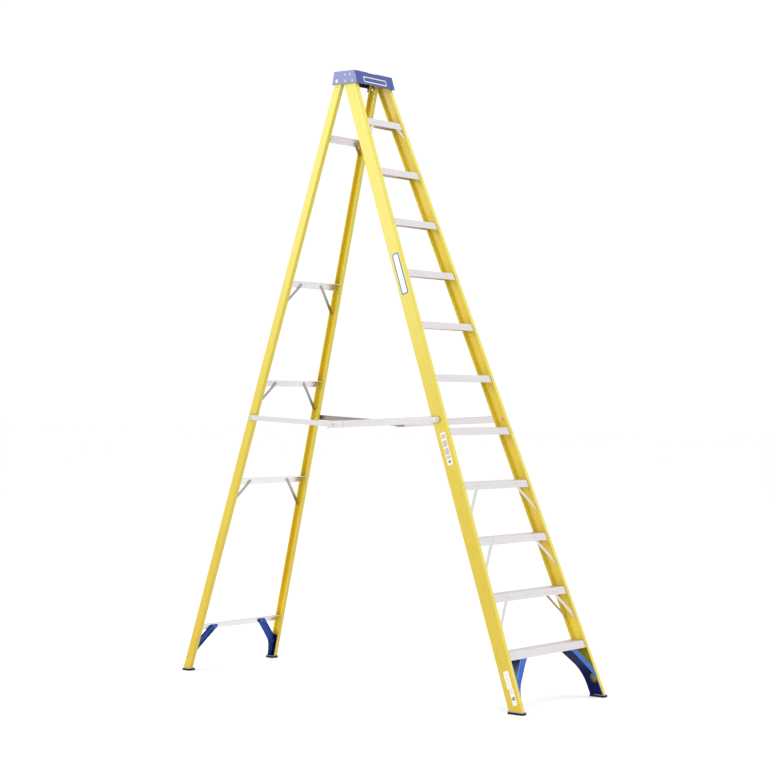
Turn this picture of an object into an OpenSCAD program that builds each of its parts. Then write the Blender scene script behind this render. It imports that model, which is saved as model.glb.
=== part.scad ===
// Twin-leg step ladder: a climbing section with treads and a supporting rear section, hinged
// under a moulded top cap and held apart by two folding spreaders.
// Origin: on the floor, midway between the two sections. +X across the treads, +Y towards the
// supporting section, +Z up. The climbing side faces -Y.

/* [Stance] */
// Distance on the floor between the outer faces of the two sections
spread = 2376.8; // [2350:1:2400]
// Lean of the climbing section from vertical, degrees
front_tilt = 21.61; // [21.4:0.01:21.8]
// Lean of the supporting section from vertical, degrees
rear_tilt = 15.11; // [14.9:0.01:15.3]
// Half the outside width of the climbing section at the floor
front_foot_half = 408.6; // [400:0.1:415]
// Half the outside width of the supporting section at the floor
rear_foot_half = 388.6; // [380:0.1:395]
// Sideways splay of each climbing rail, degrees
front_splay = 3.856; // [3.8:0.001:3.9]
// Sideways splay of each supporting rail, degrees
rear_splay = 3.652; // [3.6:0.001:3.7]

/* [Rails] */
// Depth of the climbing rail channel
front_depth = 78; // [76:1:80]
// Depth of the supporting rail channel
rear_depth = 48; // [46:1:49]
// Flange width of both rail channels
flange = 27; // [25:1:29]
// Wall thickness of both rail channels
wall = 4; // [3.5:0.1:4.5]
// Outside corner radius of the rail channels
rail_round = 3; // [2:0.5:3.5]

/* [Treads] */
// Number of treads
tread_count = 11; // [11:1:11]
// Height of the top tread surface
top_tread = 3144.5; // [3140:0.5:3148]
// Vertical distance between treads
tread_pitch = 284.4; // [283.8:0.1:284.8]
// Height of the tread aprons
apron = 38; // [34:1:40]
// Sheet thickness of the treads
tread_sheet = 2.5; // [2:0.1:3]

/* [Supporting bars] */
// Heights of the top edges of the supporting section's crossbars, lowest first
bar_tops = [265.5, 1117.6, 1683.7, 2249.1, 3065.1];
// Height of the crossbars
bar_height = 35; // [30:1:38]

/* [Braces] */
// Width of the knee brace straps
strap = 18; // [16:1:20]
// Thickness of the knee brace straps
strap_sheet = 2.5; // [2:0.1:3]
// Sideways reach of a long knee brace between its rivets
long_reach = 146; // [140:1:155]
// Vertical drop of a long knee brace between its rivets
long_drop = 149; // [142:1:158]
// Sideways reach and drop of the top tread's knee braces between their rivets
top_brace = [77, 72];
// Sideways reach and drop of the top crossbar's knee braces between their rivets
top_bar_brace = [62, 56];

/* [Cap] */
// Height of the bottom rim of the top cap
cap_bottom = 3342.5; // [3340:0.5:3345]
// Height of the cap's top face
cap_top = 3414.8; // [3412:0.1:3418]
// Cap wall thickness
cap_wall = 4; // [3.5:0.1:4]
// Distance forward or back of the fold axis from the origin
fold_y = 266; // [264:0.5:267]
// Height of the fold axis
fold_z = 3360; // [3358:0.5:3362]

/* [Spreaders] */
// Height of the spreader pivots on the climbing rails
spreader_front_z = 1482.5; // [1480:0.5:1485]
// Height of the spreader pivots on the supporting rails
spreader_rear_z = 1470; // [1468:0.5:1472]
// Position of the spreader's middle hinge along Y
knee_y = 150; // [145:1:155]
// Height of the spreader's middle hinge
knee_z = 1443; // [1441:1:1445]
// Width of the front spreader bars
front_bar = 38; // [36:1:40]
// Width of the rear spreader bars
rear_bar = 29; // [27:1:31]

/* [Hidden] */
$fn = 48;

LEFT = -1;
RIGHT = 1;
SIDES = [LEFT, RIGHT];
big = 5000;
gap = 0.1;              // clearance between pieces fixed to each other
run = 0.05;             // radial running clearance of every pivot
front_y0 = -spread / 2;
rear_y0 = spread / 2;

// rivets
rivet_r = 2.4;
hole_r = rivet_r + gap;
head_r = 4.4;
head_h = 1.8;
tail_r = 3.8;
tail_h = 1.6;
rivet_in = 15;          // distance of the flange rivets from the rail's outer web face

// sole and foot
sole = 6;               // shoe thickness under the rail
shoe_top = 14;
shoe_wall = 1.5;
function foot_width(front) = front ? 31.4 : 44; // width inside the shoe, from the web's outer face

yellow = [0.93, 0.83, 0.18];
silver = [0.85, 0.84, 0.83];
blue = [0.18, 0.28, 0.62];
navy = [0.10, 0.12, 0.25];

// ---- frames -------------------------------------------------------------------------------

// Frame of the climbing section: X across, Y square to it and backwards, Z up its slope
module front_frame() translate([0, front_y0, 0]) rotate([-front_tilt, 0, 0]) children();

// Frame of the supporting section: X across, Y square to it and forwards, Z up its slope
module rear_frame() translate([0, rear_y0, 0]) rotate([rear_tilt, 0, 0]) mirror([0, 1, 0]) children();

// Draws for the left side, and mirrors that for the right side
module on_side(side) {
    if (side == RIGHT) mirror([1, 0, 0]) children();
    else children();
}

module section(front) {
    if (front) front_frame() children();
    else rear_frame() children();
}

// Frame of the left rail: X inwards from the web's outer face, Y into the section, Z along it
module rail_frame(front) {
    section(front)
        translate([-(front ? front_foot_half : rear_foot_half), 0, 0])
            rotate([0, front ? front_splay : rear_splay, 0])
                children();
}

// Everything between two heights
module between(low, high) {
    intersection() {
        children();
        translate([-big / 2, -big / 2, low]) cube([big, big, high - low]);
    }
}

// ---- where things are -----------------------------------------------------------------------

function tilt(front) = front ? front_tilt : rear_tilt;
function depth(front) = front ? front_depth : rear_depth;

// Distance up a section's slope of the point at height z and depth n
function slope_at(front, z, n) = (z + n * sin(tilt(front))) / cos(tilt(front));

// Half width over the webs at a distance up the slope
function half_at(front, s) = front ? front_foot_half - s * tan(front_splay)
                                   : rear_foot_half - s * tan(rear_splay);

// Y of a section's outer face at height z
function face_y(front, z) = front ? front_y0 + z * tan(front_tilt) : rear_y0 - z * tan(rear_tilt);

function tread_z(i) = top_tread - (tread_count - i) * tread_pitch;

// ---- rivets ---------------------------------------------------------------------------------

// A rivet along +Y with its head's underside at y = 0 and a grip of the given length
module rivet(grip, r = rivet_r) {
    rotate([90, 0, 0]) dome(head_r, head_h);
    rotate([-90, 0, 0]) translate([0, 0, -0.2]) cylinder(r = r, h = grip + 0.4);
    translate([0, grip, 0]) rotate([-90, 0, 0]) dome(tail_r, tail_h);
}

// A shallow rivet head standing on z = 0
module dome(r, h) {
    ball = (r * r + h * h) / (2 * h);
    intersection() {
        translate([0, 0, h - ball]) sphere(r = ball);
        cylinder(r = r + 1, h = h + 1);
    }
}

module hole(reach, r = hole_r) translate([0, -1, 0]) rotate([-90, 0, 0]) cylinder(r = r, h = reach + 1);

// Left-side rivet places [x, s] through a flange at depth n, for a bar with its top at z
function end_rivets(front, z, height, n) = [
    for (drop = [0.28, 0.74])
        let (s = slope_at(front, z - drop * height, n))
            [-half_at(front, s) + rivet_in, s]
];

// Left-side brace ends [[x, s] at the bar, [x, s] at the rail] for a bar with its top at z
function brace_ends(front, z, height, reach, drop, n) =
    let (s_low = slope_at(front, z - height / 2 - drop, n),
         s_high = slope_at(front, z - height / 2, n),
         x_low = -half_at(front, s_low) + rivet_in)
        [[x_low + reach, s_high], [x_low, s_low]];

// What a brace belongs to: [climbing section, height of its bar's top edge, bar height, reach, drop]
function step_brace_spec(i) = concat([true, tread_z(i), apron],
                                     i == tread_count ? top_brace : [long_reach, long_drop]);
function rear_brace_spec(i) = concat([false, bar_tops[i - 1], bar_height],
                                     i == 5 ? top_bar_brace : [long_reach, long_drop]);

// Depth of the middle of the inner skin that a brace lies on
function inner_face(front, far_flange) = far_flange ? depth(front) - wall : wall;

module place_xs(p, n) translate([p[0], n, p[1]]) children();

// Turns a rivet that enters through the far flange
module through(front, far_flange) {
    if (far_flange) translate([0, depth(front), 0]) mirror([0, 1, 0]) children();
    else children();
}

braced_steps = [2, 3, 4, tread_count];
braced_bars = [2, 3, 4, 5];

// Flange rivets of one section's left side that hold the treads or crossbars
module bar_rivets(front, far_flange, as_hole) {
    n = inner_face(front, far_flange);
    tops = front ? [for (i = [1:tread_count]) tread_z(i)] : bar_tops;
    height = front ? apron : bar_height;
    for (z = tops)
        for (p = end_rivets(front, z, height, n))
            through(front, far_flange)
                place_xs(p, 0) {
                    if (as_hole) hole(wall + gap + tread_sheet + 0.3);
                    else rivet(wall + gap + tread_sheet);
                }
}

// Rivets at both ends of every brace on one flange of the left side
module brace_rivets(front, far_flange, as_hole) {
    n = inner_face(front, far_flange);
    list = front ? (far_flange ? [2] : braced_steps) : braced_bars;
    for (i = list) {
        spec = front ? step_brace_spec(i) : rear_brace_spec(i);
        ends = brace_ends(front, spec[1], spec[2], spec[3], spec[4], n);
        through(front, far_flange) {
            place_xs(ends[0], wall + gap)
                if (as_hole) hole(tread_sheet + gap + strap_sheet + 0.3);
                else rivet(tread_sheet + gap + strap_sheet);
            place_xs(ends[1], 0)
                if (as_hole) hole(wall + gap + strap_sheet + 0.3);
                else rivet(wall + gap + strap_sheet);
        }
    }
}

// Rivets that hold the blue foot brace of the left side, at distances up the rail
module foot_rivets(front, as_hole) {
    for (s = front ? [60, 130] : [60, 105])
        place_xs([-half_at(front, s) + rivet_in, s], 0) {
            if (as_hole) hole(wall + gap + foot_plate + 0.3);
            else rivet(wall + gap + foot_plate);
        }
}

// Rivet through the lowest crossbar and the end of the supporting rail's foot brace
module arm_rivet(as_hole) {
    grip = arm_front - wall - gap;
    place_xs(web_point([160, 246]), wall + gap) {
        if (as_hole) hole(grip + 0.3);
        else rivet(grip);
    }
}

// Rivets through the web of the supporting rail below the cap
module web_rivets(as_hole) {
    for (s = [3434, 3460])
        rail_frame(false) translate([0, 25, s]) rotate([0, 0, -90]) {
            if (as_hole) hole(wall + 0.3);
            else rivet(wall);
        }
}

// ---- rails ----------------------------------------------------------------------------------

// Channel outline: web on x = 0, flanges towards +x
module channel_outline(depth) {
    r = rail_round;
    difference() {
        union() {
            translate([r, 0]) square([flange - r, depth]);
            translate([0, r]) square([flange, depth - 2 * r]);
            for (y = [r, depth - r]) translate([r, y]) circle(r = r);
        }
        translate([wall, wall]) square([flange, depth - 2 * wall]);
    }
}

module rail_bar(front) rail_frame(front) translate([0, 0, -60]) linear_extrude(3900) channel_outline(depth(front));

front_rail_top = 3398;
cap_rivets_at = [[3392, 13], [3392, 47], [3356, 13], [3356, 59]];     // height, depth in the rail

module front_rail(side) {
    color(yellow) on_side(side) difference() {
        between(sole + gap, front_rail_top) rail_bar(true);
        front_frame() {
            for (far_flange = [false, true]) {
                bar_rivets(true, far_flange, true);
                brace_rivets(true, far_flange, true);
            }
            foot_rivets(true, true);
        }
        cap_rivet_places() cross_hole(hole_r);
        pivot_at(pivot_front) cross_hole(pin_r + gap);
    }
}

rear_head_r = 21;       // radius of the rounded top end of the supporting rail

module rear_rail(side) {
    color(yellow) on_side(side) difference() {
        union() {
            between(sole + gap, fold_z) rail_bar(false);
            intersection() {
                rail_bar(false);
                translate([-big / 2, fold_y, fold_z]) rotate([0, 90, 0])
                    cylinder(r = rear_head_r, h = big, $fn = 96);
            }
        }
        rear_frame() {
            bar_rivets(false, false, true);
            brace_rivets(false, false, true);
            foot_rivets(false, true);
        }
        web_rivets(true);
        pivot_at([fold_y, fold_z]) cross_hole(fold_pin_r + run);
        pivot_at(pivot_rear) cross_hole(pin_r + gap);
    }
}

// ---- treads and crossbars ---------------------------------------------------------------------

// Outline in Y and Z of a bent-sheet bar under z = 0: ribbed top, one leaning apron whose outer
// face meets the top at y = 0, and perhaps a second one; lean is an apron's shift over its height.
module bar_outline(width, height, sheet, lean, ribs, aprons) {
    edge = 5;
    rib_pitch = (width - 2 * edge) / ribs;
    groove = 0.8;
    slant = lean / height;
    inside = sheet * slant;
    open_to = aprons == 2 ? width - sheet : 2 * width;
    difference() {
        polygon([[0, 0], [width, 0], [width - lean, -height], [-lean, -height]]);
        polygon([[sheet - inside, -sheet], [open_to - inside, -sheet],
                 [open_to - lean - slant, -height - 1], [sheet - lean - slant, -height - 1]]);
        for (i = [0:ribs - 1])
            translate([edge + (i + 0.5) * rib_pitch, 0])
                square([rib_pitch * 0.45, 2 * groove], center = true);
    }
}

// Width left for a bar between the flanges, measured level
function bar_width(front) = (depth(front) - 2 * wall - 2 * gap) / cos(tilt(front));

module bar_solid(front, z, height, ribs) {
    lean = height * tan(tilt(front));
    half = half_at(front, slope_at(front, z, depth(front))) - wall - 0.5;
    inset = (wall + gap) / cos(tilt(front));
    face = face_y(front, z);
    translate([0, front ? face + inset : face - inset, z]) mirror([0, front ? 0 : 1, 0])
        translate([-half, 0, 0]) rotate([90, 0, 90])
            linear_extrude(2 * half)
                bar_outline(bar_width(front), height, tread_sheet, lean, ribs, front ? 2 : 1);
}

module step(i) {
    color(silver) difference() {
        bar_solid(true, tread_z(i), apron, 9);
        for (side = SIDES) on_side(side) front_frame() for (far_flange = [false, true]) {
            bar_rivets_of(true, far_flange, tread_z(i), apron);
            if (is_braced(i, far_flange)) brace_top_hole(step_brace_spec(i), far_flange);
        }
    }
}

function is_braced(i, far_flange) = far_flange ? i == 2 : len(search(i, braced_steps)) > 0;

module bar_rivets_of(front, far_flange, z, height) {
    n = inner_face(front, far_flange);
    for (p = end_rivets(front, z, height, n))
        through(front, far_flange) place_xs(p, 0) hole(wall + gap + tread_sheet + 0.3);
}

module brace_top_hole(spec, far_flange) {
    n = inner_face(spec[0], far_flange);
    ends = brace_ends(spec[0], spec[1], spec[2], spec[3], spec[4], n);
    through(spec[0], far_flange) place_xs(ends[0], wall + gap) hole(tread_sheet + gap + strap_sheet + 0.3);
}

module rear_bar(i) {
    color(silver) difference() {
        bar_solid(false, bar_tops[i - 1], bar_height, 4);
        for (side = SIDES) on_side(side) rear_frame() {
            bar_rivets_of(false, false, bar_tops[i - 1], bar_height);
            if (i > 1) brace_top_hole(rear_brace_spec(i), false);
            else arm_rivet(true);
        }
    }
}

// ---- knee braces ------------------------------------------------------------------------------

// A flat bar with round ends in the X-Z plane, between two points, its face on y = 0
module flat_bar(a, b, width, sheet) {
    span = norm(b - a);
    angle = atan2(b[1] - a[1], b[0] - a[0]);
    translate([a[0], 0, a[1]]) rotate([0, -angle, 0]) {
        translate([0, 0, -width / 2]) cube([span, sheet, width]);
        for (x = [0, span]) translate([x, 0, 0]) rotate([-90, 0, 0]) cylinder(r = width / 2, h = sheet);
    }
}

// A flat strap. Its high end lies on the bar's apron and its low end steps out by one sheet to
// lie on the rail's flange.
module brace(spec, far_flange) {
    front = spec[0];
    n = inner_face(front, far_flange);
    ends = brace_ends(front, spec[1], spec[2], spec[3], spec[4], n);
    along = (ends[1] - ends[0]) / norm(ends[1] - ends[0]);
    joggle = ends[1] - along * 24;
    upper_n = wall + 2 * gap + tread_sheet;
    difference() {
        through(front, far_flange) {
            translate([0, upper_n, 0]) flat_bar(ends[0], joggle, strap, strap_sheet);
            translate([0, wall + gap, 0]) flat_bar(joggle, ends[1], strap, strap_sheet);
            translate([0, wall + gap, 0]) flat_bar(joggle, joggle + along * 0.1, strap, upper_n - wall);
        }
        through(front, far_flange) {
            place_xs(ends[0], wall) hole(20);
            place_xs(ends[1], 0) hole(20);
        }
    }
}

module step_brace(i, side, far_flange = false)
    color(silver) on_side(side) front_frame() brace(step_brace_spec(i), far_flange);

module rear_brace(i, side)
    color(silver) on_side(side) rear_frame() brace(rear_brace_spec(i), false);

// ---- foot braces --------------------------------------------------------------------------------

foot_plate = 4;         // wall thickness of the moulded foot braces
skin_at = 25;           // distance of the climbing foot brace's skin from the web, at the floor
curve_r = 150;          // bend radius of the skin
strip_foot = 127;       // height where the strips' outer edge leaves the web
strip_slope = 0.864;
arm_front = 15;         // depth at which the front face of the supporting foot brace's arm lies
skin_bend = [64, 49];   // height where the skin's bend starts, and its angle in degrees
lip_bend = [50, 43.5];  // the same for the front strip, which stands out past the skin

// Concave edge of the climbing foot brace: up the leg, round the bend and straight on.
// Points are [distance from the web, height]; grow moves the edge towards the rail.
function foot_curve(bend, grow) =
    let (r = curve_r + grow,
         x = skin_at + curve_r - r * cos(bend[1]),
         z = bend[0] + r * sin(bend[1]))
        concat([[skin_at - grow, -30]],
               [for (i = [0:18]) let (a = i / 18 * bend[1])
                   [skin_at + curve_r - r * cos(a), bend[0] + r * sin(a)]],
               [[x + (340 - z) * tan(bend[1]), 340]]);

function foot_outline(bend) =
    concat([[gap, -30]], foot_curve(bend, 0), [[(340 - strip_foot) * strip_slope, 340], [gap, strip_foot]]);

// Level prism with that outline, cut to the layer between two depths of the climbing section
module foot_layer(points, n_from, n_to) {
    inner = [for (p = points)
        [-half_at(true, slope_at(true, p[1], front_depth)) + wall + p[0], p[1]]];
    intersection() {
        rotate([90, 0, 0]) linear_extrude(big) polygon(inner);
        front_frame() translate([-big / 2, n_from, -100]) cube([big, n_to - n_from, 600]);
    }
}

// Skin along the concave edge, wrapped over the rear flange's edge, with a strip along its front
// and one along its back
module front_foot_brace(side) {
    outer_n = wall + gap;
    inner_n = front_depth - wall - gap;
    top = tread_z(1) - apron - gap;
    flange_edge = flange - wall + gap;
    slot = [109, 125];
    slot_n = 22;
    slot_r = 17;
    hollow = concat([[-10, -30]], foot_curve(skin_bend, foot_plate), [[-10, 340]]);
    color(blue) on_side(side) difference() {
        union() {
            between(sole + gap, top) {
                foot_layer(foot_outline(skin_bend), outer_n, inner_n);
                foot_layer(foot_outline(lip_bend), outer_n, outer_n + foot_plate);
                foot_layer(concat([[flange_edge, -30]], foot_curve(skin_bend, 0), [[flange_edge, 340]]),
                           inner_n - 1, front_depth);
            }
            between(top - 1, tread_z(1) - tread_sheet - gap)
                foot_layer(foot_outline(skin_bend), outer_n + 7, inner_n - 7);
        }
        between(sole + 3, top - foot_plate) foot_layer(hollow, outer_n + foot_plate, inner_n - foot_plate);
        between(sole, top + 1) foot_layer(hollow, inner_n, front_depth + 1);
        front_frame() {
            foot_rivets(true, true);
            // oblong opening through the skin
            for (s = slot) translate([-half_at(true, s) + 16, slot_n, s])
                rotate([0, 90, 0]) cylinder(r = slot_r, h = 80);
            translate([-half_at(true, slot[0]) + 16, slot_n - slot_r, slot[0]])
                cube([80, 2 * slot_r, slot[1] - slot[0]]);
        }
    }
}

// Supporting foot brace, seen square to the section: [distance from the web, height]
arm_outline = [
    [gap, -20], [38, -20], [39, 46], [48, 85], [60, 111], [80, 134], [115, 171], [182, 238],
    [187, 247], [182, 256], [165, 261], [142, 260], [130, 251], [20, 141], [gap, 128]
];
leg_outline = [[gap, -20], [24, -20], [24, 150], [gap, 128]];

// Section-frame [x, s] of a point on the left of the supporting section
function web_point(p) =
    let (s = slope_at(false, p[1], 6))
        [-half_at(false, s) + wall + p[0], s];

// Outline given thickness from depth n inwards
module rear_plate(points, n, thick)
    rear_frame() translate([0, n + thick, 0]) rotate([90, 0, 0])
        linear_extrude(thick) polygon([for (p = points) web_point(p)]);

// A closed outline, listed anticlockwise, with every side moved inwards by d
function inset(points, d) = let (last = len(points)) [
    for (i = [0:last - 1])
        let (a = points[(i + last - 1) % last],
             b = points[i],
             c = points[(i + 1) % last],
             u = (b - a) / norm(b - a),
             v = (c - b) / norm(c - b))
            b + d * [-u[1] - v[1], u[0] + v[0]] / (1 + u * v)
];

// An angle-shaped leg inside the rail, and a dished arm that ends on the crossbar
module rear_foot_brace(side) {
    n = wall + gap;
    deep = rear_depth - 2 * n;
    under_bar = bar_tops[0] - bar_height;
    color(blue) on_side(side) difference() {
        union() {
            difference() {
                between(sole + gap, 300) rear_plate(arm_outline, n, arm_front - n);
                between(sole + 4, under_bar - 6)
                    rear_plate(inset(arm_outline, 3.5), n + foot_plate, arm_front);
            }
            difference() {
                between(sole + gap, 300) rear_plate(leg_outline, n, deep);
                between(sole + 4, 122)
                    rear_plate([[5, 0], [90, 0], [90, 200], [5, 200]], n + foot_plate, deep);
            }
        }
        between(under_bar - 1, 300)
            rear_frame() translate([-big / 2, 0, 0]) cube([big, wall + 2 * gap + tread_sheet, 900]);
        rear_frame() {
            foot_rivets(false, true);
            arm_rivet(true);
        }
    }
}

// ---- shoes ----------------------------------------------------------------------------------------

// Space that the rail and the brace's leg take up
module foot_block(front)
    rail_frame(front) translate([-gap, -gap, -80])
        cube([foot_width(front) + 2 * gap, depth(front) + 2 * gap, 200]);

// Shoe: a shallow upright-sided socket round the rail and the brace's leg, grooved underneath
module shoe(front, side) {
    groove_pitch = 9;
    groove_width = 3;
    groove_depth = 1.5;
    edge = 9;
    inwards = front ? 1 : -1;
    level_depth = depth(front) / cos(tilt(front));
    last = floor((level_depth - 2 * edge) / groove_pitch);
    outer_y = face_y(front, sole) - inwards * shoe_wall;
    length = abs(face_y(front, shoe_top) - face_y(front, sole)) + level_depth + 2 * shoe_wall;
    outer_x = half_at(front, 0) + shoe_wall;
    color(navy) on_side(side) difference() {
        translate([-outer_x, front ? outer_y : outer_y - length, 0])
            cube([foot_width(front) + 2 * shoe_wall + 1, length, shoe_top]);
        between(sole, shoe_top + 1) foot_block(front);
        for (i = [0:last])
            translate([-big / 2, face_y(front, 0) + inwards * (edge + i * groove_pitch), -1])
                translate([0, -groove_width / 2, 0]) cube([big, groove_width, groove_depth + 1]);
    }
}

// ---- top cap ----------------------------------------------------------------------------------------

cap_half_low = 172.3;
cap_half_high = 170.4;
cap_front_low = 120.2;
cap_front_high = 141.1;
cap_rear_low = 298.2;
cap_rear_high = 286.2;

// The cap's outer form moved inwards by a margin, from below its rim up to its top
module cap_form(margin, rise) {
    low = cap_bottom - rise;
    high = cap_top - margin;
    intersection() {
        translate([-big / 2, 0, 0]) rotate([90, 0, 90]) linear_extrude(big)
            polygon([[cap_front_low + margin, low], [cap_rear_low - margin, low],
                     [cap_rear_high - margin, high], [cap_front_high + margin, high]]);
        translate([0, big / 2, 0]) rotate([90, 0, 0]) linear_extrude(big)
            polygon([[-cap_half_low + margin, low], [cap_half_low - margin, low],
                     [cap_half_high - margin, high], [-cap_half_high + margin, high]]);
    }
}

// Solid blocks inside the cap that the climbing rails are riveted against
module cap_blocks() {
    intersection() {
        cap_form(0.5, 0);
        for (side = SIDES) on_side(side)
            translate([-cap_half_low, 128, cap_bottom + 3]) cube([24, 95, 60]);
    }
}

module top_cap() {
    tray = 3;
    rim = 1.4;
    skirt_cut = 19;
    color(blue) difference() {
        union() {
            difference() {
                union() {
                    cap_form(0, 0);
                    between(cap_bottom, cap_bottom + 4) cap_form(-rim, 0);
                }
                cap_form(cap_wall, 1);
            }
            difference() {
                cap_blocks();
                for (side = SIDES) on_side(side) {
                    rail_frame(true) translate([-gap, -2, 3000]) cube([100, front_depth + 4, 900]);
                    rear_swing();
                }
            }
        }
        // tray in the top face, and the low place in its front edge
        translate([-120, 168, cap_top - tray]) cube([240, 90, tray + 1]);
        translate([-50, 120, cap_top - 4.5]) cube([80, 30, 10]);
        // higher lower edge of the back skirt between the supporting rails
        translate([-142, 280, cap_bottom - 1]) cube([284, 30, skirt_cut + 1]);
        for (side = SIDES) on_side(side) {
            cap_rivet_places() cross_hole(hole_r);
            pivot_at([fold_y, fold_z]) cross_hole(fold_pin_r + gap);
        }
    }
}

// Space that the supporting rail's rounded head turns in
module rear_swing()
    translate([-cap_half_low + cap_wall, fold_y, fold_z]) rotate([0, 90, 0]) cylinder(r = 38, h = 60);

// ---- cross pins ----------------------------------------------------------------------------------------

fold_pin_r = 6;
pin_r = 4;
rear_pivot_n = 22;      // depth of the spreader pivot in the supporting rail
pivot_front = [face_y(true, spreader_front_z) + front_depth / 2 / cos(front_tilt), spreader_front_z];
pivot_rear = [face_y(false, spreader_rear_z) - rear_pivot_n / cos(rear_tilt), spreader_rear_z];
knee = [knee_y, knee_z];

module pivot_at(yz) translate([0, yz[0], yz[1]]) children();

// A hole along X through everything on the left side
module cross_hole(r) translate([-big, 0, 0]) rotate([0, 90, 0]) cylinder(r = r, h = big);

// A round bar along X on the left side, between two X distances from the middle
module cross_bar(r, x_out, x_in) translate([-x_out, 0, 0]) rotate([0, 90, 0]) cylinder(r = r, h = x_out - x_in);

// Domed head on the left side, its flat at x_out
module cross_head(r, h, x_out) translate([-x_out, 0, 0]) rotate([0, -90, 0]) dome(r, h);

// Left-side places of the four rivets through the cap's end wall and the climbing rail
module cap_rivet_places() {
    for (at = cap_rivets_at)
        pivot_at([face_y(true, at[0]) + at[1] / cos(front_tilt), at[0]]) children();
}

module cap_rivet() {
    tail_x = 155;
    cross_bar(rivet_r, cap_half_low + 0.5, tail_x);
    cross_head(6, 2.6, cap_half_low + 0.2);
    cross_bar(tail_r, tail_x + 1.8, tail_x);
}

module fold_pins() {
    color(silver) for (side = SIDES) on_side(side) pivot_at([fold_y, fold_z]) {
        cross_bar(fold_pin_r, cap_half_low + 0.5, 152);
        cross_head(11, 4.5, cap_half_low + 0.2);
        translate([-158.5, 0, 0]) rotate([0, 90, 0]) cylinder(r = 10, h = 8, $fn = 6);
    }
}

// ---- spreaders --------------------------------------------------------------------------------------------

bar_sheet = 2;
front_layer = [303.8, 309.6];   // X of the front spreader bar's inner edge and outer face
rear_layer = [295, 303];        // X of the rear spreader bar's inner edge and outer face
knee_tail = 40;                 // length of the front bar beyond the middle hinge

// A shallow channel bar on the left side between two points [y, z], open towards the rail
module channel_bar(a, b, width, layer, extend_a, extend_b, bare) {
    span = norm(b - a);
    angle = atan2(b[1] - a[1], b[0] - a[0]);
    from = -extend_a + bare;
    translate([-layer[1], a[0], a[1]]) rotate([angle, 0, 0]) {
        translate([0, from, -width / 2]) cube([bar_sheet, span + extend_b - from, width]);
        for (edge = [-width / 2, width / 2 - bar_sheet])
            translate([0, from, edge]) cube([layer[1] - layer[0], span + extend_b - from, bar_sheet]);
        // flat rounded tab at the pivot on the rail
        translate([0, 0, -14.5]) cube([bar_sheet, from + 1, 29]);
        rotate([0, 90, 0]) cylinder(r = 14.5, h = bar_sheet);
    }
}

module spreader_front(side) {
    color(silver) on_side(side) difference() {
        channel_bar(pivot_front, knee, front_bar, front_layer, 0, knee_tail, 42);
        pivot_at(pivot_front) cross_hole(pin_r + run);
        pivot_at(knee) cross_hole(pin_r + gap);
        lock_places() cross_hole(lock_rivet_r + gap);
    }
}

// The rear bar ends in a formed stud, the inner half of the middle hinge
module spreader_rear(side) {
    stud = 4;
    color(silver) on_side(side) {
        difference() {
            channel_bar(pivot_rear, knee, rear_bar, rear_layer, 0, 18, 30);
            pivot_at(pivot_rear) cross_hole(pin_r + run);
        }
        pivot_at(knee) cross_bar(7, rear_layer[1] - bar_sheet + 0.5, rear_layer[1] - bar_sheet - stud);
    }
}

// Middle hinge pin, carried by the front bar and its lock plate
module knee_pin(side) {
    head_x = front_layer[1] + gap + lock_sheet;
    color(silver) on_side(side) pivot_at(knee) {
        cross_bar(pin_r, head_x + 0.5, front_layer[1] - bar_sheet - 0.5);
        cross_head(8, 3, head_x + 0.1);
        cross_bar(6, front_layer[1] - bar_sheet - 0.1, front_layer[0] + 0.6);
    }
}

lock_sheet = 1.5;
lock_rivet_r = 2;
lock_reach = 69;                // length of the lock plate on the front bar's side of the hinge
knee_slope = (knee_z - pivot_front[1]) / (knee_y - pivot_front[0]);
function on_front_bar(back) = [knee_y - back, knee_z - back * knee_slope];
module lock_places() for (back = [22, 52]) pivot_at(on_front_bar(back)) children();

// Stamped stiffener and its two rivets, which hold the middle hinge in line
module spreader_lock(side) {
    start = on_front_bar(lock_reach);
    span = norm(knee - start);
    angle = atan2(knee[1] - start[1], knee[0] - start[0]);
    face_x = front_layer[1] + gap + lock_sheet;
    color(silver) on_side(side) {
        difference() {
            translate([-face_x, start[0], start[1]]) rotate([angle, 0, 0])
                translate([0, 0, -front_bar / 2 - 1]) cube([lock_sheet, span + knee_tail, front_bar + 2]);
            pivot_at(knee) cross_hole(pin_r + gap);
            lock_places() cross_hole(lock_rivet_r + gap);
        }
        lock_places() {
            cross_bar(lock_rivet_r, face_x + 0.5, front_layer[1] - bar_sheet - 0.5);
            cross_head(4.5, 1.8, face_x + 0.1);
            cross_bar(3.6, front_layer[1] - bar_sheet - 0.1, front_layer[1] - bar_sheet - 1.6);
        }
    }
}

module spreader_front_pins()
    color(silver) for (side = SIDES) on_side(side) pivot_at(pivot_front)
        spreader_pin(front_layer, half_at(true, slope_at(true, spreader_front_z, front_depth / 2)));

module spreader_rear_pins()
    color(silver) for (side = SIDES) on_side(side) pivot_at(pivot_rear)
        spreader_pin(rear_layer, half_at(false, slope_at(false, spreader_rear_z, rear_pivot_n)));

// Shouldered pin: head, shank through the bar, collar down to the rail, shank through its web
module spreader_pin(layer, web_x) {
    cross_bar(pin_r, layer[1] + 0.6, web_x - wall - 4);
    cross_head(9, 3, layer[1] + 0.4);
    cross_bar(8, layer[1] - bar_sheet - 0.3, web_x + 1);
    translate([-web_x + wall + 1, 0, 0]) rotate([0, 90, 0]) cylinder(r = 7, h = 3);
}

// ---- rivet groups --------------------------------------------------------------------------------------------

module front_rivets() {
    color(silver) for (side = SIDES) on_side(side) front_frame() {
        for (far_flange = [false, true]) {
            bar_rivets(true, far_flange, false);
            brace_rivets(true, far_flange, false);
        }
        foot_rivets(true, false);
    }
    color(silver) for (side = SIDES) on_side(side) cap_rivet_places() cap_rivet();
}

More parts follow.
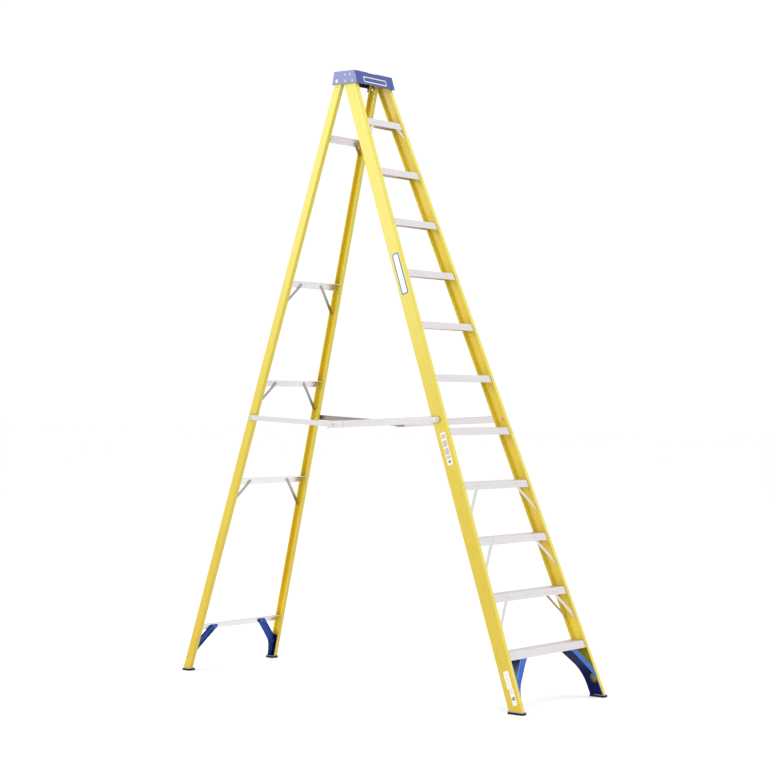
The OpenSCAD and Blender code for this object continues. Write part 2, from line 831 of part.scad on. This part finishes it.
module rear_rivets() {
    color(silver) for (side = SIDES) on_side(side) {
        rear_frame() {
            bar_rivets(false, false, false);
            brace_rivets(false, false, false);
            foot_rivets(false, false);
            arm_rivet(false);
        }
        web_rivets(false);
    }
}

// ---- all sub-parts ----------------------------------------------------------------------------------------------

front_rail(LEFT);  // front_rail_left
front_rail(RIGHT);  // front_rail_right
step(1);  // step_01
step(2);  // step_02
step(3);  // step_03
step(4);  // step_04
step(5);  // step_05
step(6);  // step_06
step(7);  // step_07
step(8);  // step_08
step(9);  // step_09
step(10);  // step_10
step(11);  // step_11
step_brace(11, LEFT);  // step_brace_11_left
step_brace(11, RIGHT);  // step_brace_11_right
step_brace(4, LEFT);  // step_brace_04_left
step_brace(4, RIGHT);  // step_brace_04_right
step_brace(3, LEFT);  // step_brace_03_left
step_brace(3, RIGHT);  // step_brace_03_right
step_brace(2, LEFT);  // step_brace_02_left
step_brace(2, RIGHT);  // step_brace_02_right
step_brace(2, LEFT, true);  // step_brace_02_rear_left
step_brace(2, RIGHT, true);  // step_brace_02_rear_right
front_foot_brace(LEFT);  // front_foot_brace_left
front_foot_brace(RIGHT);  // front_foot_brace_right
shoe(true, LEFT);  // front_shoe_left
shoe(true, RIGHT);  // front_shoe_right
top_cap();
front_rivets();
fold_pins();
spreader_front_pins();
rear_rail(LEFT);  // rear_rail_left
rear_rail(RIGHT);  // rear_rail_right
rear_bar(1);  // rear_bar_1
rear_bar(2);  // rear_bar_2
rear_bar(3);  // rear_bar_3
rear_bar(4);  // rear_bar_4
rear_bar(5);  // rear_bar_5
rear_brace(2, LEFT);  // rear_brace_2_left
rear_brace(2, RIGHT);  // rear_brace_2_right
rear_brace(3, LEFT);  // rear_brace_3_left
rear_brace(3, RIGHT);  // rear_brace_3_right
rear_brace(4, LEFT);  // rear_brace_4_left
rear_brace(4, RIGHT);  // rear_brace_4_right
rear_brace(5, LEFT);  // rear_brace_5_left
rear_brace(5, RIGHT);  // rear_brace_5_right
rear_foot_brace(LEFT);  // rear_foot_brace_left
rear_foot_brace(RIGHT);  // rear_foot_brace_right
shoe(false, LEFT);  // rear_shoe_left
shoe(false, RIGHT);  // rear_shoe_right
rear_rivets();
spreader_rear_pins();
spreader_front(LEFT);  // spreader_front_left
spreader_front(RIGHT);  // spreader_front_right
spreader_rear(LEFT);  // spreader_rear_left
spreader_rear(RIGHT);  // spreader_rear_right
spreader_lock(LEFT);  // spreader_lock_left
spreader_lock(RIGHT);  // spreader_lock_right
knee_pin(LEFT);  // knee_pin_left
knee_pin(RIGHT);  // knee_pin_right
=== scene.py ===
import bpy
import bmesh
import math
from mathutils import Matrix, Vector


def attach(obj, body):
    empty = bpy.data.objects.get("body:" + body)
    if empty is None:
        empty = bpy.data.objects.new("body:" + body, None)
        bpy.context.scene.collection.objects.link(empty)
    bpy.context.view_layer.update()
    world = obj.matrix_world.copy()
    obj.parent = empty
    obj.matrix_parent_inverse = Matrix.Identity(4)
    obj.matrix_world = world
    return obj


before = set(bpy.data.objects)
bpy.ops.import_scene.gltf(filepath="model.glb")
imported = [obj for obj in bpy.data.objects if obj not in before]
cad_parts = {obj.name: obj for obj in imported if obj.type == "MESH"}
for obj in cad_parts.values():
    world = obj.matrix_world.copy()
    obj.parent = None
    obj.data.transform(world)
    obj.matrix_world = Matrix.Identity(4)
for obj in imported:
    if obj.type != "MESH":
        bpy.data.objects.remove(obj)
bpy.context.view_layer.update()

# ---- the part's driving dimensions, in metres and degrees ----------------------------------------

FRONT = {"lean": 21.61, "foot_y": -1.1884, "half": 0.4086, "splay": 3.856, "depth": 0.078}
REAR = {"lean": 15.11, "foot_y": 1.1884, "half": 0.3886, "splay": 3.652, "depth": 0.048}
WALL = 0.004
CAP_LOW, CAP_HIGH = 3.3425, 3.4148
CAP_FRONT = (0.1202, 0.1411)        # Y of the cap's front face at its rim and at its top
CAP_REAR = (0.2982, 0.2862)
CAP_HALF = 0.1704

# ---- node helpers -----------------------------------------------------------------------------


class Shader:
    """A material's node tree, with short calls for the nodes it uses."""

    def __init__(self, name):
        self.material = bpy.data.materials.new(name)
        self.material.use_nodes = True
        self.tree = self.material.node_tree
        self.bsdf = self.tree.nodes["Principled BSDF"]

    def node(self, kind, values=None, **settings):
        made = self.tree.nodes.new(kind)
        for key, value in settings.items():
            setattr(made, key, value)
        for key, value in (values or {}).items():
            made.inputs[key].default_value = value
        return made

    def link(self, source, target):
        self.tree.links.new(source, target)

    def feed(self, socket, value):
        """Links the value to the socket if it is another node's output, and else sets it."""
        if hasattr(value, "node"):
            self.link(value, socket)
        else:
            socket.default_value = value

    def feed_all(self, sockets, values):
        for socket, value in zip(sockets, values):
            self.feed(socket, value)

    def split(self, vector):
        """X, Y and Z of a vector."""
        made = self.node("ShaderNodeSeparateXYZ")
        self.link(vector, made.inputs[0])
        return made.outputs[0], made.outputs[1], made.outputs[2]

    def place(self):
        """X, Y and Z of the shaded point in the part's own frame, in metres."""
        return self.split(self.node("ShaderNodeTexCoord").outputs["Object"])

    def facing(self):
        """X, Y and Z of the face's normal in the part's own frame."""
        return self.split(self.node("ShaderNodeTexCoord").outputs["Normal"])

    def outwards(self, x):
        """A value along X, made positive away from the ladder's middle plane on both sides."""
        return self.maths("MULTIPLY", x, self.maths("SIGN", self.place()[0]))

    def weigh(self, terms, constant=0.0):
        """Sum of value x weight over the terms, plus a constant."""
        total = constant
        for value, weight in terms:
            total = self.maths("ADD", self.maths("MULTIPLY", value, weight), total)
        return total

    def all_of(self, tests):
        """1 where every test is 1."""
        total = tests[0]
        for test in tests[1:]:
            total = self.maths("MULTIPLY", total, test)
        return total

    def coords(self, scale=(1, 1, 1)):
        place = self.node("ShaderNodeTexCoord")
        mapping = self.node("ShaderNodeMapping", {"Scale": scale})
        self.link(place.outputs["Object"], mapping.inputs["Vector"])
        return mapping.outputs["Vector"]

    def noise(self, vector, scale, detail=4, roughness=0.55):
        settings = {"Scale": scale, "Detail": detail, "Roughness": roughness}
        made = self.node("ShaderNodeTexNoise", settings)
        self.link(vector, made.inputs["Vector"])
        return made.outputs["Fac"]

    def span(self, source, low, high, to_low=0.0, to_high=1.0):
        made = self.node("ShaderNodeMapRange", {1: low, 2: high, 3: to_low, 4: to_high})
        self.link(source, made.inputs[0])
        return made.outputs[0]

    def mix(self, factor, first, second):
        made = self.node("ShaderNodeMix", data_type="RGBA")
        self.feed_all((made.inputs[0], made.inputs[6], made.inputs[7]), (factor, first, second))
        return made.outputs[2]

    def maths(self, operation, first, second=0.0):
        made = self.node("ShaderNodeMath", operation=operation)
        self.feed_all((made.inputs[0], made.inputs[1]), (first, second))
        return made.outputs[0]

    def bump(self, height, strength, distance):
        made = self.node("ShaderNodeBump", {"Strength": strength, "Distance": distance})
        self.link(height, made.inputs["Height"])
        return made.outputs["Normal"]

    def finish(self, color=None, roughness=None, normal=None, **fixed):
        for value, socket in ((color, "Base Color"), (roughness, "Roughness"), (normal, "Normal")):
            if value is not None:
                self.feed(self.bsdf.inputs[socket], value)
        for key, value in fixed.items():
            self.bsdf.inputs[key.replace("_", " ")].default_value = value
        return self.material


def rgb(red, green, blue):
    return (red, green, blue, 1.0)


# ---- materials -------------------------------------------------------------------------------


def section_axis(rails):
    """Unit vector from a section's outer face into it."""
    lean = math.radians(rails["lean"])
    inwards = 1 if rails["foot_y"] < 0 else -1
    return (0.0, inwards * math.cos(lean), -math.sin(lean))


def inside_channel(s, rails):
    """1 on the inner faces of a section's rails, 0 on their outer faces."""
    x, y, z = s.place()
    lean, splay = math.radians(rails["lean"]), math.radians(rails["splay"])
    axis = section_axis(rails)
    depth = s.weigh([(y, axis[1]), (z, axis[2])], -rails["foot_y"] * axis[1])
    along = s.weigh([(y, math.sin(lean) * (1 if axis[1] > 0 else -1)), (z, math.cos(lean))],
                    abs(rails["foot_y"]) * math.sin(lean))
    across = s.maths("ABSOLUTE", x)
    from_web = s.weigh([(across, -math.cos(splay)), (along, -math.sin(splay))],
                       rails["half"] * math.cos(splay))
    skin = WALL * 0.9
    return s.all_of([s.maths("GREATER_THAN", from_web, skin), s.maths("GREATER_THAN", depth, skin),
                     s.maths("LESS_THAN", depth, rails["depth"] - skin)])


def fibreglass(name, rails):
    """Through-coloured pultruded channel: long faint streaks and a fine veil, with painted light and
    shade: lighter and greener to the top and darker, more orange to the foot, gold painted shade on the
    inner faces of the channel (brighter there at the foot, which is painted light), and a painted
    highlight that makes the climbing rails' front flange paler."""
    s = Shader(name)
    place = s.node("ShaderNodeTexCoord")
    lean = math.radians(rails["lean"]) * (1 if rails is FRONT else -1)
    turn = s.node("ShaderNodeMapping", {"Rotation": (lean, 0, 0)})
    s.link(place.outputs["Object"], turn.inputs["Vector"])
    long_way = s.node("ShaderNodeMapping", {"Scale": (60, 60, 1.1)})
    s.link(turn.outputs["Vector"], long_way.inputs["Vector"])
    streak = s.noise(long_way.outputs["Vector"], 2.6, 5)
    veil = s.noise(turn.outputs["Vector"], 420, 3)
    cloud = s.noise(turn.outputs["Vector"], 3.0, 2)
    height = s.place()[2]
    # Painted light from above: the colour runs from a darker, more orange foot to a lighter, greener
    # top.
    low = s.mix(s.span(streak, 0.3, 0.7), rgb(0.53, 0.365, 0.018), rgb(0.60, 0.43, 0.026))
    high = s.mix(s.span(streak, 0.3, 0.7), rgb(0.57, 0.50, 0.034), rgb(0.63, 0.57, 0.050))
    color = s.mix(s.span(height, 0.2, 3.2), low, high)
    color = s.mix(s.span(cloud, 0.35, 0.7, 0.0, 0.3), color, rgb(0.64, 0.50, 0.04))
    # Painted shade: the rails' inner faces inside the channel turn gold; the brighter gold low down is
    # painted light.
    painted_channel_shading = s.mix(s.span(height, 0.2, 0.5), rgb(1.0, 0.80, 0.03), rgb(0.76, 0.54, 0.02))
    color = s.mix(s.maths("MULTIPLY", inside_channel(s, rails), 0.7), color, painted_channel_shading)
    # Painted highlight: on the climbing rails, faces turned to the front are made paler.
    if rails is FRONT:
        facing = s.facing()
        axis = section_axis(rails)
        forwards = s.weigh([(facing[1], -axis[1]), (facing[2], -axis[2])])
        color = s.mix(s.span(forwards, 0.8, 0.95, 0.0, 0.55), color, rgb(0.86, 0.76, 0.13))
    rough = s.span(veil, 0.3, 0.7, 0.30, 0.42)
    relief = s.maths("ADD", s.maths("MULTIPLY", streak, 0.7), s.maths("MULTIPLY", veil, 0.3))
    return s.finish(color, rough, s.bump(relief, 0.12, 0.0004), Coat_Weight=0.12, Coat_Roughness=0.2)


def aluminium(name, along, tone=1.0, painted_shade_tone=None):
    """Mill-finish extrusion with fine lines along its length and faint handling marks. With a shade
    tone, the faces turned to the middle of the ladder get a darker, duller painted shade."""
    s = Shader(name)

    def metal(red, green, blue):
        return rgb(red * tone, green * tone, blue * tone)

    lines = s.noise(s.coords(along), 1.0, 5, 0.65)
    blotch = s.noise(s.coords(), 9.0, 3)
    marks = s.noise(s.coords((40, 900, 40)), 1.0, 2, 0.8)
    color = s.mix(s.span(lines, 0.3, 0.7), metal(0.76, 0.725, 0.735), metal(0.85, 0.82, 0.825))
    color = s.mix(s.span(blotch, 0.4, 0.7, 0.0, 0.35), color, metal(0.73, 0.69, 0.70))
    color = s.mix(s.span(marks, 0.68, 0.75, 0.0, 0.5), color, metal(0.60, 0.57, 0.58))
    # Painted shade on the faces turned to the ladder's middle.
    if painted_shade_tone is not None:
        dull = rgb(0.74 * painted_shade_tone, 0.68 * painted_shade_tone, 0.63 * painted_shade_tone)
        color = s.mix(s.span(s.outwards(s.facing()[0]), -0.3, -0.7), color, dull)
    rough = s.span(lines, 0.3, 0.7, 0.28, 0.42)
    return s.finish(color, rough, s.bump(lines, 0.12, 0.0003), Metallic=0.85)


# Navy for painted shade in the hollows and undersides of the blue plastics.
PAINTED_SHADE_NAVY = (0.0030, 0.0060, 0.056, 1.0)


def moulded(name, dark, light, rough_low, rough_high, shade=None, lit=None, relief=0.1, **fixed):
    """Injection-moulded plastic with a fine spark-eroded grain; shade picks where painted shade turns
    it navy, and lit where painted light makes it paler."""
    s = Shader(name)
    fine = s.noise(s.coords(), 900, 3)
    cloud = s.noise(s.coords(), 14.0, 3)
    color = s.mix(s.span(cloud, 0.35, 0.7), dark, light)
    # Painted light: paler blue where a foot brace faces its rail's web, inside a shaded recess.
    if lit is not None:
        color = s.mix(lit(s), color, rgb(0.30, 0.46, 0.98))
    if shade is not None:
        color = s.mix(shade(s), color, PAINTED_SHADE_NAVY)
    rough = s.span(fine, 0.35, 0.65, rough_low, rough_high)
    return s.finish(color, rough, s.bump(fine, relief, 0.0003), **fixed)


def off_section(rails):
    """Painted shade for a foot brace: everything but the strips that lie in its section's plane. On the
    climbing side only the skin's outer face gets the painted shade."""
    def mask(s):
        facing = s.facing()
        axis = section_axis(rails)
        along = s.maths("ABSOLUTE", s.weigh([(facing[1], axis[1]), (facing[2], axis[2])]))
        across = s.span(along, 0.9, 0.75)
        if rails is REAR:
            return across
        return s.all_of([across, s.maths("LESS_THAN", s.outwards(facing[0]), 0.1)])
    return mask


def towards_web(s):
    """1 on a foot brace's faces that look at its rail's web, where painted light goes."""
    return s.maths("GREATER_THAN", s.outwards(s.facing()[0]), 0.3)


def cap_inside(s):
    """Painted shade for the hollow underside of the cap."""
    x, y, z = s.place()
    rise = CAP_HIGH - CAP_LOW
    lean_front = (CAP_FRONT[1] - CAP_FRONT[0]) / rise
    lean_rear = (CAP_REAR[1] - CAP_REAR[0]) / rise
    margin = WALL * 0.7
    from_front = s.weigh([(y, 1.0), (z, -lean_front)], CAP_LOW * lean_front - CAP_FRONT[0])
    from_rear = s.weigh([(y, -1.0), (z, lean_rear)], CAP_REAR[0] - CAP_LOW * lean_rear)
    return s.all_of([s.maths("GREATER_THAN", from_front, margin),
                     s.maths("GREATER_THAN", from_rear, margin),
                     s.maths("LESS_THAN", s.maths("ABSOLUTE", x), CAP_HALF - margin),
                     s.maths("LESS_THAN", z, CAP_HIGH - 0.0052)])


def shoe_rubber(name):
    """Dark moulded sole with a paler worn rim along its top edge."""
    s = Shader(name)
    fine = s.noise(s.coords(), 700, 3)
    wear = s.noise(s.coords(), 60, 3)
    height = s.place()[2]
    color = s.mix(s.span(fine, 0.35, 0.7), rgb(0.006, 0.008, 0.022), rgb(0.013, 0.016, 0.040))
    rim = s.all_of([s.span(height, 0.0112, 0.0128), s.span(wear, 0.25, 0.45, 0.6, 1.0)])
    color = s.mix(rim, color, rgb(0.34, 0.35, 0.46))
    return s.finish(color, s.span(fine, 0.35, 0.65, 0.5, 0.7), s.bump(fine, 0.3, 0.0003),
                    Specular_IOR_Level=0.25)


def fastener(name):
    """Zinc-plated rivet and pin heads, duller on the rails than in the cap."""
    s = Shader(name)
    mottle = s.noise(s.coords(), 260, 4)
    dull = s.mix(s.span(mottle, 0.3, 0.7), rgb(0.42, 0.38, 0.26), rgb(0.56, 0.51, 0.36))
    bright = s.mix(s.span(mottle, 0.3, 0.7), rgb(0.60, 0.59, 0.58), rgb(0.78, 0.77, 0.77))
    color = s.mix(s.maths("GREATER_THAN", s.place()[2], CAP_LOW), dull, bright)
    rough = s.span(mottle, 0.3, 0.7, 0.25, 0.4)
    return s.finish(color, rough, s.bump(mottle, 0.15, 0.0002), Metallic=1.0)


def vinyl(name, clean, worn):
    """Printed film of a sticker, faintly mottled and scuffed."""
    s = Shader(name)
    mottle = s.noise(s.coords(), 90, 4)
    scuff = s.noise(s.coords((200, 30, 30)), 3.0, 4, 0.7)
    color = s.mix(s.span(mottle, 0.35, 0.7, 0.0, 0.5), clean, worn)
    color = s.mix(s.span(scuff, 0.62, 0.72, 0.0, 0.4), color, worn)
    return s.finish(color, s.span(mottle, 0.3, 0.7, 0.25, 0.4), s.bump(mottle, 0.1, 0.0001))


NAVY_TRIM = {"Specular_IOR_Level": 0.05}
YELLOW = {"front": fibreglass("fibreglass_front", FRONT), "rear": fibreglass("fibreglass_rear", REAR)}
TREAD = aluminium("aluminium_tread", (3, 260, 260), 0.93)
# The rear knee braces' low tone (0.45 against 0.9 at the front) is painted shade.
BRACE = {"front": aluminium("front_knee_brace", (60, 60, 60), 0.9),
         "rear": aluminium("rear_knee_brace", (60, 60, 60), 0.45)}
# The rear spreader bars get painted shade on their inner faces.
SPREADER = {"front": aluminium("front_spreader_bar", (260, 3, 260), 0.74),
            "rear": aluminium("rear_spreader_bar", (260, 3, 260), 0.74, 0.36)}
# The cap and the foot braces get painted shade in navy; the front foot braces also get painted light
# where they face their rails' webs.
CAP = moulded("cap_plastic", rgb(0.016, 0.042, 0.25), rgb(0.022, 0.055, 0.29), 0.26, 0.32, cap_inside,
              relief=0.02, Coat_Weight=0.3, Coat_Roughness=0.2)
FOOT = {"front": moulded("front_brace_plastic", rgb(0.045, 0.135, 0.46), rgb(0.060, 0.160, 0.52),
                         0.32, 0.45, off_section(FRONT), towards_web, **NAVY_TRIM),
        "rear": moulded("rear_brace_plastic", rgb(0.020, 0.058, 0.30), rgb(0.030, 0.078, 0.36),
                        0.32, 0.45, off_section(REAR), **NAVY_TRIM)}
SHOE = shoe_rubber("shoe_rubber")
ZINC = fastener("zinc_fastener")
WHITE_FILM = vinyl("white_film", rgb(0.80, 0.80, 0.78), rgb(0.66, 0.65, 0.62))
BLUE_FILM = vinyl("blue_film", rgb(0.030, 0.120, 0.32), rgb(0.045, 0.150, 0.36))
GREY_FILM = vinyl("grey_film", rgb(0.20, 0.19, 0.19), rgb(0.30, 0.29, 0.28))
SAND_FILM = vinyl("sand_film", rgb(0.46, 0.42, 0.33), rgb(0.52, 0.48, 0.40))


def material_for(node):
    section = "front" if node.startswith("front") else "rear"
    if "rail" in node:
        return YELLOW[section]
    if "foot_brace" in node:
        return FOOT[section]
    if node == "top_cap":
        return CAP
    if "shoe" in node:
        return SHOE
    if "rivets" in node or "pin" in node:
        return ZINC
    if node.startswith("spreader"):
        return SPREADER["rear" if "rear" in node else "front"]
    if "brace" in node:
        return BRACE["front" if node.startswith("step") else "rear"]
    return TREAD


def soften(obj, width, segments=2):
    """Rounds a CAD node's hard edges a little."""
    bevel = obj.modifiers.new("edge_round", "BEVEL")
    bevel.width = width
    bevel.segments = segments
    bevel.limit_method = "ANGLE"
    bevel.angle_limit = math.radians(35)
    bevel.harden_normals = False


def edge_width(node):
    if node == "top_cap":
        return 0.0012
    if "shoe" in node or "foot_brace" in node:
        return 0.0008
    return 0.0004


for node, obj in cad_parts.items():
    obj.data.materials.clear()
    obj.data.materials.append(material_for(node))
    if "rivets" not in node and "pin" not in node:
        soften(obj, edge_width(node))

# ---- plain stickers and the cap's badge ------------------------------------------------------------


def rounded_outline(width, height, radius, steps=6):
    """Corner-rounded rectangle round the origin, anticlockwise."""
    corners = ((1, 1, 0), (-1, 1, 90), (-1, -1, 180), (1, -1, 270))
    points = []
    for side, end, start in corners:
        for i in range(steps + 1):
            angle = math.radians(start + 90 * i / steps)
            points.append((side * (width / 2 - radius) + radius * math.cos(angle),
                           end * (height / 2 - radius) + radius * math.sin(angle)))
    return points


def film(name, width, height, radius, thick, where, material, shift=(0, 0), base=0.0):
    """A thin plate with round corners, a chamfered top edge and its back on the face it sticks to."""
    mesh = bpy.data.meshes.new(name)
    piece = bpy.data.objects.new(name, mesh)
    bm = bmesh.new()
    chamfer = min(thick * 0.6, radius * 0.3)
    rings = []
    for inset, level in ((0, base), (0, base + thick - chamfer), (chamfer, base + thick)):
        outline = rounded_outline(width - 2 * inset, height - 2 * inset, radius - inset)
        rings.append([bm.verts.new((x + shift[0], y + shift[1], level)) for x, y in outline])
    for low, high in zip(rings, rings[1:]):
        for i in range(len(low)):
            j = (i + 1) % len(low)
            bm.faces.new((low[i], low[j], high[j], high[i]))
    bm.faces.new(rings[-1])
    bm.faces.new(list(reversed(rings[0])))
    bm.transform(where)
    bm.to_mesh(mesh)
    bm.free()
    mesh.materials.append(material)
    bpy.context.scene.collection.objects.link(piece)
    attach(piece, "front_section")
    return piece


FILM_THICK = 0.0005


def on_left_web(depth, along):
    """Matrix to the outer face of the left climbing rail: X to the front, Y up the rail, Z outwards."""
    rail = (Matrix.Translation((0, FRONT["foot_y"], 0))
            @ Matrix.Rotation(math.radians(-FRONT["lean"]), 4, "X")
            @ Matrix.Translation((-FRONT["half"], 0, 0))
            @ Matrix.Rotation(math.radians(FRONT["splay"]), 4, "Y"))
    face = Matrix(((0, 0, -1, 0), (-1, 0, 0, depth), (0, 1, 0, along), (0, 0, 0, 1)))
    return rail @ face


def on_cap_front(x, height):
    """Matrix to the cap's front face: X across, Y up the face, Z outwards."""
    lean = math.atan2(CAP_FRONT[1] - CAP_FRONT[0], CAP_HIGH - CAP_LOW)
    y = CAP_FRONT[0] + math.tan(lean) * (height - CAP_LOW)
    return Matrix.Translation((x, y, height)) @ Matrix.Rotation(math.pi / 2 - lean, 4, "X")


def blank_label(name, width, height, depth, along, blocks):
    """White sticker with plain printed blocks: (share of width, share of height, centre up, film)."""
    where = on_left_web(depth, along)
    film(name, width, height, 0.004, FILM_THICK, where, WHITE_FILM)
    for i, (wide, tall, up, material) in enumerate(blocks):
        film(f"{name}_block_{i + 1}", width * wide, height * tall, 0.0015, FILM_THICK * 0.4, where,
             material, (0, height * up), FILM_THICK)


def name_plate(name, width, height, where, edge, frame_film, field_film):
    """Plain framed plate, with no mark on it."""
    corner = height * 0.16 if width > height else width * 0.25
    film(name, width, height, corner, FILM_THICK, where, frame_film)
    film(f"{name}_field", width - 2 * edge, height - 2 * edge, min(width, height) * 0.12,
         FILM_THICK * 0.5, where, field_film, (0, 0), FILM_THICK)


# width, height, depth from the front of the rail, distance up the rail
SPREADER_LABEL = (0.033, 0.180, 0.035, 1.448)
FOOT_LABEL_UPPER = (0.032, 0.090, 0.033, 0.196)
FOOT_LABEL_LOWER = (0.026, 0.086, 0.027, 0.105)
RAIL_PLATE = {"size": (0.046, 0.240), "depth": 0.037, "along": 2.457, "edge": 0.008}
CAP_PLATE = {"size": (0.205, 0.034), "height": 3.371, "edge": 0.006}

blank_label("spreader_label", *SPREADER_LABEL, [
    (0.80, 0.14, 0.38, SAND_FILM), (0.80, 0.20, 0.16, SAND_FILM), (0.80, 0.20, -0.08, SAND_FILM),
    (0.80, 0.10, -0.26, SAND_FILM), (0.55, 0.08, -0.40, GREY_FILM)])
blank_label("foot_label_upper", *FOOT_LABEL_UPPER, [
    (0.7, 0.03, 0.32 - 0.13 * i, SAND_FILM) for i in range(6)])
blank_label("foot_label_lower", *FOOT_LABEL_LOWER, [
    (0.6, 0.03, 0.36, GREY_FILM), (0.6, 0.03, 0.24, GREY_FILM), (0.7, 0.22, -0.10, GREY_FILM),
    (0.7, 0.03, -0.34, SAND_FILM)])
name_plate("rail_plate", *RAIL_PLATE["size"], on_left_web(RAIL_PLATE["depth"], RAIL_PLATE["along"]),
           RAIL_PLATE["edge"], BLUE_FILM, WHITE_FILM)
name_plate("cap_plate", *CAP_PLATE["size"], on_cap_front(0, CAP_PLATE["height"]),
           CAP_PLATE["edge"], WHITE_FILM, CAP)

# ---- studio ------------------------------------------------------------------------------------


def plain_floor():
    mesh = bpy.data.meshes.new("floor")
    size = 60
    corners = [(-size, -size, 0), (size, -size, 0), (size, size, 0), (-size, size, 0)]
    mesh.from_pydata(corners, [], [(0, 1, 2, 3)])
    floor = bpy.data.objects.new("studio_floor", mesh)
    bpy.context.scene.collection.objects.link(floor)
    s = Shader("studio_floor")
    grain = s.noise(s.coords(), 30, 3)
    color = s.mix(s.span(grain, 0.3, 0.7), rgb(0.96, 0.96, 0.96), rgb(0.99, 0.99, 0.99))
    mesh.materials.append(s.finish(color, 0.6, Specular_IOR_Level=0.1))


def soft_world(strength):
    world = bpy.data.worlds.new("studio")
    bpy.context.scene.world = world
    world.use_nodes = True
    world.node_tree.nodes["Background"].inputs[0].default_value = rgb(1, 1, 1)
    world.node_tree.nodes["Background"].inputs[1].default_value = strength


def area_light(name, place, target, size, power):
    data = bpy.data.lights.new(name, "AREA")
    data.shape = "RECTANGLE"
    data.size, data.size_y = size
    data.energy = power
    light = bpy.data.objects.new(name, data)
    light.location = place
    light.rotation_euler = (Vector(target) - Vector(place)).to_track_quat("-Z", "Y").to_euler()
    bpy.context.scene.collection.objects.link(light)


def camera():
    """Eye-height view from the climbing side's left, with a long lens."""
    place = (-8.605, -6.634, 1.625)
    azimuth, elevation, roll = -52.24, 0.203, 0.696
    data = bpy.data.cameras.new("camera")
    data.sensor_width = 36
    data.lens = 91.01
    data.clip_end = 200
    made = bpy.data.objects.new("camera", data)
    made.matrix_world = (Matrix.Translation(place)
                         @ Matrix.Rotation(math.radians(azimuth), 4, "Z")
                         @ Matrix.Rotation(math.radians(90 + elevation), 4, "X")
                         @ Matrix.Rotation(math.radians(roll), 4, "Z"))
    bpy.context.scene.collection.objects.link(made)
    bpy.context.scene.camera = made


bpy.context.scene.view_settings.view_transform = "Standard"
plain_floor()
soft_world(1.03)
area_light("overhead", (0, 0, 9), (0, 0, 0), (8, 8), 260)
area_light("side", (-7, 5.4, 5.0), (0, 0, 2.6), (2.6, 3.6), 210)
camera()

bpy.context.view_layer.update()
